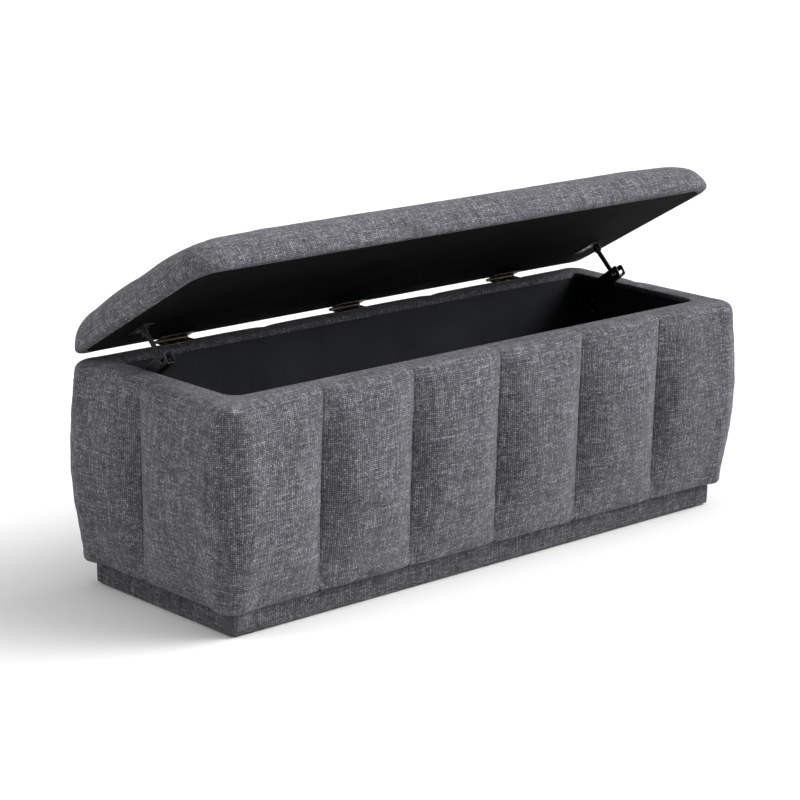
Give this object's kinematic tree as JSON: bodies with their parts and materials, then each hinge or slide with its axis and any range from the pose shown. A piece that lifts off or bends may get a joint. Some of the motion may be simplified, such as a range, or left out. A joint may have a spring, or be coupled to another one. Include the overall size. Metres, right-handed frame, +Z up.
{
  "type": "storage bench",
  "caption": "Long upholstered storage bench: box with vertical padded channels on a recessed plinth, and a padded lid held part open by side stays.",
  "frame": {"origin": "on the floor, under the middle of the box", "axes": "+Z up, +X along the bench's length, the front faces -Y"},
  "size_m": [1.2228, 0.4463, 0.6527],
  "materials": {
    "box_upholstery": "heathered linen-look weave, mid grey",
    "plinth_upholstery": "same grey weave, pulled tight over the plinth",
    "lid_upholstery": "heathered linen-look weave, mid grey, over foam",
    "lining_cloth": "black non-woven lining",
    "dust_cloth": "black non-woven dust cloth",
    "board_wood": "raw plywood, hidden by the cover",
    "hinge_bronze": "dark bronze, satin",
    "stay_black_steel": "black, semi-gloss with bright worn edges",
    "screw_steel": "zinc plated",
    "glide_nylon": "black nylon, matt"
  },
  "bodies": {
    "box": {"plinth_front_board": "board_wood", "plinth_back_board": "board_wood", "plinth_left_board": "board_wood", "plinth_right_board": "board_wood", "plinth_cover": "plinth_upholstery", "base_dust_cloth": "dust_cloth", "floor_glides": "glide_nylon", "floor_panel": "board_wood", "front_panel": "board_wood", "back_panel": "board_wood", "left_panel": "board_wood", "right_panel": "board_wood", "front_rail": "board_wood", "back_rail": "board_wood", "left_rail": "board_wood", "right_rail": "board_wood", "panel_screws": "screw_steel", "box_lining": "lining_cloth", "rim_cover": "box_upholstery", "front_channel_1": "box_upholstery", "front_channel_2": "box_upholstery", "front_channel_3": "box_upholstery", "front_channel_4": "box_upholstery", "front_channel_5": "box_upholstery", "front_channel_6": "box_upholstery", "back_channel_1": "box_upholstery", "back_channel_2": "box_upholstery", "back_channel_3": "box_upholstery", "back_channel_4": "box_upholstery", "back_channel_5": "box_upholstery", "back_channel_6": "box_upholstery", "left_channel_front": "box_upholstery", "left_channel_rear": "box_upholstery", "right_channel_front": "box_upholstery", "right_channel_rear": "box_upholstery", "hinge_left_box_leaf": "hinge_bronze", "hinge_middle_box_leaf": "hinge_bronze", "hinge_right_box_leaf": "hinge_bronze", "hinge_pins": "hinge_bronze", "hinge_box_screws": "screw_steel", "stay_left_plate": "stay_black_steel", "stay_right_plate": "stay_black_steel", "stay_studs": "stay_black_steel", "stay_plate_screws": "screw_steel"},
    "lid": {"lid_board": "board_wood", "lid_cushion": "lid_upholstery", "lid_dust_cloth": "dust_cloth", "hinge_left_lid_leaf": "hinge_bronze", "hinge_middle_lid_leaf": "hinge_bronze", "hinge_right_lid_leaf": "hinge_bronze", "hinge_lid_screws": "screw_steel", "stay_left_bracket": "stay_black_steel", "stay_right_bracket": "stay_black_steel", "stay_bracket_rivets": "stay_black_steel", "stay_bracket_screws": "screw_steel"},
    "left_stay_arm": {"stay_left_arm": "stay_black_steel"},
    "right_stay_arm": {"stay_right_arm": "stay_black_steel"},
    "left_stay_link": {"stay_left_link": "stay_black_steel"},
    "right_stay_link": {"stay_right_link": "stay_black_steel"}
  },
  "joints": [
    {"name": "lid_hinge", "type": "hinge", "parent": "box", "child": "lid", "pos_m": [0, 0.204, 0.3945], "axis": [-1, 0, 0], "range_deg": [-30.26, 49.74]},
    {"name": "left_stay_arm_pivot", "type": "hinge", "parent": "box", "child": "left_stay_arm", "pos_m": [-0.537, 0.137, 0.3357], "axis": [-1, 0, 0], "range_deg": [-33, 53]},
    {"name": "left_stay_link_pivot", "type": "hinge", "parent": "lid", "child": "left_stay_link", "pos_m": [-0.537, 0.08849, 0.4517], "axis": [-1, 0, 0], "range_deg": [-60, 38]},
    {"name": "right_stay_arm_pivot", "type": "hinge", "parent": "box", "child": "right_stay_arm", "pos_m": [0.537, 0.137, 0.3357], "axis": [-1, 0, 0], "range_deg": [-33, 53]},
    {"name": "right_stay_link_pivot", "type": "hinge", "parent": "lid", "child": "right_stay_link", "pos_m": [0.537, 0.08849, 0.4517], "axis": [-1, 0, 0], "range_deg": [-60, 38]}
  ],
  "couplings": [
    {"joint": "left_stay_arm_pivot", "follows": "lid_hinge", "ratio": 1.034},
    {"joint": "left_stay_link_pivot", "follows": "lid_hinge", "ratio": -1.182},
    {"joint": "right_stay_arm_pivot", "follows": "lid_hinge", "ratio": 1.034},
    {"joint": "right_stay_link_pivot", "follows": "lid_hinge", "ratio": -1.182}
  ]
}
